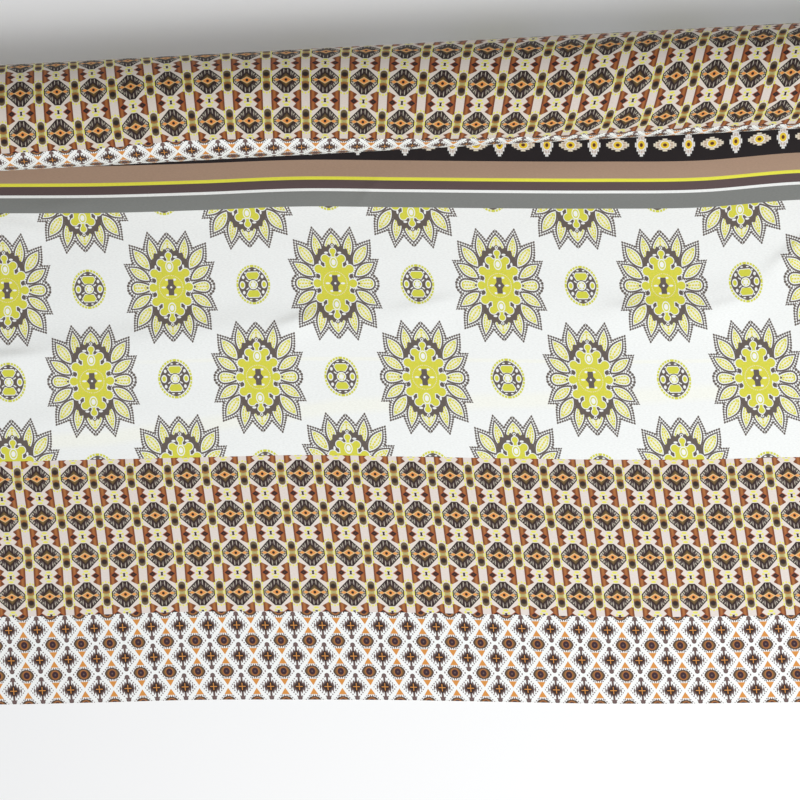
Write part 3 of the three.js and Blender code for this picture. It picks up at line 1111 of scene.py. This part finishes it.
def turn_point(at, row):
    """A point of the outer turn, from its place along the roll and its line of print."""
    stations, *columns = zip(*TURN_PRINT)
    slide, line, lean = (smooth_through(stations, column, at) for column in columns)
    first_row = FRONTMOST + line
    ikat_end = first_row - ROW_TO_IKAT_END
    kind, along = row
    whole = 2 * math.pi * ROLL_RADIUS * TURN_DEGREES / 360
    arc = {"start": 0, "end": whole}.get(kind)
    if arc is None:
        arc = ikat_end + (IKAT_END - along) * TURN_STRETCH
    along = IKAT_END + (ikat_end - arc) / TURN_STRETCH
    angle = math.degrees(arc / ROLL_RADIUS)
    radius = ROLL_RADIUS - TURN_INSET * angle / 360 + swelling_at(at, angle)
    across = at + slide - math.tan(math.radians(lean)) * (first_row - arc)
    return roll_point(at, angle, radius), across, along, smooth_through(*DIAMOND_SLIP, at)


class ViscoseSizes(bpy.types.PropertyGroup):
    thickness: bpy.props.FloatProperty(
        name="Cloth thickness", description="Thickness of the printed cloth",
        default=0.00045, min=0.0001, max=0.0015, unit="LENGTH",
    )
    layers: bpy.props.IntProperty(
        name="Turns that show at the ends",
        description="How many turns of the roll show as edges at each end",
        default=56, min=8, max=90,
    )


class ViscoseLight(bpy.types.PropertyGroup):
    key_power: bpy.props.FloatProperty(
        name="Key light", description="Power of the large soft light",
        default=21.3, min=0, unit="POWER",
    )
    sky: bpy.props.FloatProperty(
        name="Sky", description="Brightness of the even light from all round",
        default=0.465, min=0,
    )
    table: bpy.props.FloatVectorProperty(
        name="Table", description="Colour of the table top",
        default=(0.93, 0.93, 0.93), subtype="COLOR", size=3, min=0, max=1,
    )


class VISCOSE_OT_stage(bpy.types.Operator):
    """Make the table, the lights and the camera"""

    bl_idname = "viscose.stage"
    bl_label = "Table, lights and camera"

    def execute(self, context):
        light = context.scene.viscose_light
        add_camera(context.scene)
        add_table(light)
        add_lights(context.scene, light)
        return {"FINISHED"}


class VISCOSE_OT_laid_cloth(bpy.types.Operator):
    """Make the free end of the cloth, laid out with its soft folds"""

    bl_idname = "viscose.laid_cloth"
    bl_label = "Laid cloth"

    def execute(self, context):
        thickness = context.scene.viscose_sizes.thickness / MM
        piece = cloth_from_grid(
            "laid_cloth",
            column_values(SHEET_MIDDLE_X),
            laid_rows(),
            lambda across, row: laid_point(across, row, thickness),
            BANDS,
        )
        thicken(piece, thickness)
        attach(piece, "root")
        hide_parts("laid_length")
        return {"FINISHED"}


class VISCOSE_OT_rolled_cloth(bpy.types.Operator):
    """Make the outer turn of the roll"""

    bl_idname = "viscose.rolled_cloth"
    bl_label = "Outer turn of the roll"

    def execute(self, context):
        thickness = context.scene.viscose_sizes.thickness / MM
        columns = column_values(0)
        piece = cloth_from_grid("rolled_cloth", columns, turn_rows(), turn_point, ROLL_BANDS)
        thicken(piece, thickness)
        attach(piece, "root")
        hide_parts("roll_outer_turn")
        return {"FINISHED"}


class VISCOSE_OT_wound_layers(bpy.types.Operator):
    """Make the turns under the outer one, with their edges at both ends"""

    bl_idname = "viscose.wound_layers"
    bl_label = "Wound layers"

    def execute(self, context):
        piece = wound_layers(context.scene.viscose_sizes.layers)
        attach(piece, "root")
        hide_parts("roll_body")
        return {"FINISHED"}


# The ends of the roll: a spiral of edges, and a core inside it
EDGE_DEPTH = 12
EDGE_THICKNESS = 0.35
EDGE_UNEVENNESS = 0.9
EDGE_SET_BACK = 0.4
SPIRAL_EYE = 2.5
SPIRAL_SIDES = 36
CORE_INSET = 0.6
CORE_SIDES = 64
CORE_OVERLAP = 2
EDGE_COLOURS = (
    (0.3, linear(150, 128, 108)),
    (0.5, linear(214, 206, 192)),
    (0.7, linear(240, 238, 230)),
)


def wound_layers(turns):
    """A round body, and at each end a spiral of thin layers that stand out by uneven amounts."""
    outer = ROLL_RADIUS - 2 * TURN_INSET
    bm = bmesh.new()
    half = CLOTH_WIDTH / 2
    steps = turns * SPIRAL_SIDES
    for end in (-1, 1):
        spiral = bmesh.ops.create_grid(bm, x_segments=steps, y_segments=1, size=1)
        for vert in spiral["verts"]:
            turn = (vert.co.x + 1) / 2 * turns
            deep = vert.co.y < 0
            radius = outer - (outer - SPIRAL_EYE) * turn / turns
            uneven = noise.noise(Vector((turn * 0.9, end * 4.0, 0.5)))
            stand = EDGE_UNEVENNESS * uneven - EDGE_SET_BACK
            at = end * (half - EDGE_DEPTH if deep else half + stand)
            vert.co = placed(roll_point(at, 360 * turn, radius))
    core_end = half - EDGE_DEPTH + CORE_OVERLAP
    core = bmesh.ops.create_cone(
        bm, cap_ends=True, segments=CORE_SIDES, radius1=1, radius2=1, depth=2
    )
    for vert in core["verts"]:
        angle = math.degrees(math.atan2(vert.co.y, vert.co.x))
        vert.co = placed(roll_point(vert.co.z * core_end, angle, outer - CORE_INSET))
    bmesh.ops.recalc_face_normals(bm, faces=bm.faces)
    piece = object_from(bm, "wound_layers", [edge_material()])
    shell = piece.modifiers.new("thickness", "SOLIDIFY")
    shell.thickness = EDGE_THICKNESS * MM
    shell.offset = 0
    return piece


def edge_material():
    """The edges of the layers: pale cloth, with the print's colours showing here and there."""
    material, shader = new_material("layer_edges")
    tree = material.node_tree
    place = Flow(tree, tree.nodes.new("ShaderNodeTexCoord").outputs["Object"])
    threads = made(tree, "TexNoise", {"Vector": place, "Scale": 900, "Detail": 3})
    bump = made(tree, "Bump", {"Strength": 0.3, "Distance": 0.0003, "Height": threads})
    tree.links.new(ramp_over(threads, EDGE_COLOURS).socket, shader.inputs["Base Color"])
    tree.links.new(bump.socket, shader.inputs["Normal"])
    shader.inputs["Roughness"].default_value = 0.85
    return material


def add_camera(scene):
    camera = bpy.data.cameras.new("camera")
    camera.sensor_width = SENSOR
    camera.lens = SENSOR * CAMERA_HEIGHT / PICTURE_WIDTH
    camera.clip_end = 100
    scene.camera = added("camera", camera)
    scene.camera.location = (PICTURE_MIDDLE + Vector((0, 0, CAMERA_HEIGHT))) * MM


def add_table(light):
    bm = bmesh.new()
    bmesh.ops.create_grid(bm, x_segments=1, y_segments=1, size=TABLE_HALF_SIDE)
    material, shader = new_material("table_top")
    shader.inputs["Base Color"].default_value = (*light.table, 1)
    shader.inputs["Roughness"].default_value = 0.9
    table = object_from(bm, "table", [material])


SKY_COLOUR = (0.97, 0.985, 1.0, 1)
KEY_PLACE = (0.63, -0.7, 1.54)
KEY_SIZE = 1.0
TABLE_HALF_SIDE = 6


def add_lights(scene, light):
    world = bpy.data.worlds.new("soft_sky")
    world.use_nodes = True
    sky = world.node_tree.nodes["Background"]
    sky.inputs["Color"].default_value = SKY_COLOUR
    sky.inputs["Strength"].default_value = light.sky
    scene.world = world
    lamp = bpy.data.lights.new("key", "AREA")
    lamp.energy = light.key_power
    lamp.size = KEY_SIZE
    holder = added("key", lamp)
    holder.location = KEY_PLACE
    holder.rotation_euler = (-holder.location).to_track_quat("-Z", "Y").to_euler()
    scene.view_settings.view_transform = "Standard"


class VISCOSE_PT_panel(bpy.types.Panel):
    bl_label = "Printed viscose"
    bl_idname = "VISCOSE_PT_panel"
    bl_space_type = "VIEW_3D"
    bl_region_type = "UI"
    bl_category = "Viscose"

    def draw(self, context):
        column = self.layout.column()
        for name in ("thickness", "layers"):
            column.prop(context.scene.viscose_sizes, name)
        for name in ("key_power", "sky", "table"):
            column.prop(context.scene.viscose_light, name)
        for operator in OPERATORS:
            column.operator(operator.bl_idname)


OPERATORS = (
    VISCOSE_OT_stage,
    VISCOSE_OT_laid_cloth,
    VISCOSE_OT_rolled_cloth,
    VISCOSE_OT_wound_layers,
)
CLASSES = (ViscoseSizes, ViscoseLight, *OPERATORS, VISCOSE_PT_panel)


def register():
    for cls in CLASSES:
        bpy.utils.register_class(cls)
    bpy.types.Scene.viscose_sizes = bpy.props.PointerProperty(type=ViscoseSizes)
    bpy.types.Scene.viscose_light = bpy.props.PointerProperty(type=ViscoseLight)


def unregister():
    del bpy.types.Scene.viscose_light
    del bpy.types.Scene.viscose_sizes
    for cls in reversed(CLASSES):
        bpy.utils.unregister_class(cls)


def main():
    register()
    bpy.ops.viscose.stage()
    bpy.ops.viscose.laid_cloth()
    bpy.ops.viscose.rolled_cloth()
    bpy.ops.viscose.wound_layers()


if __name__ == "__main__":
    main()
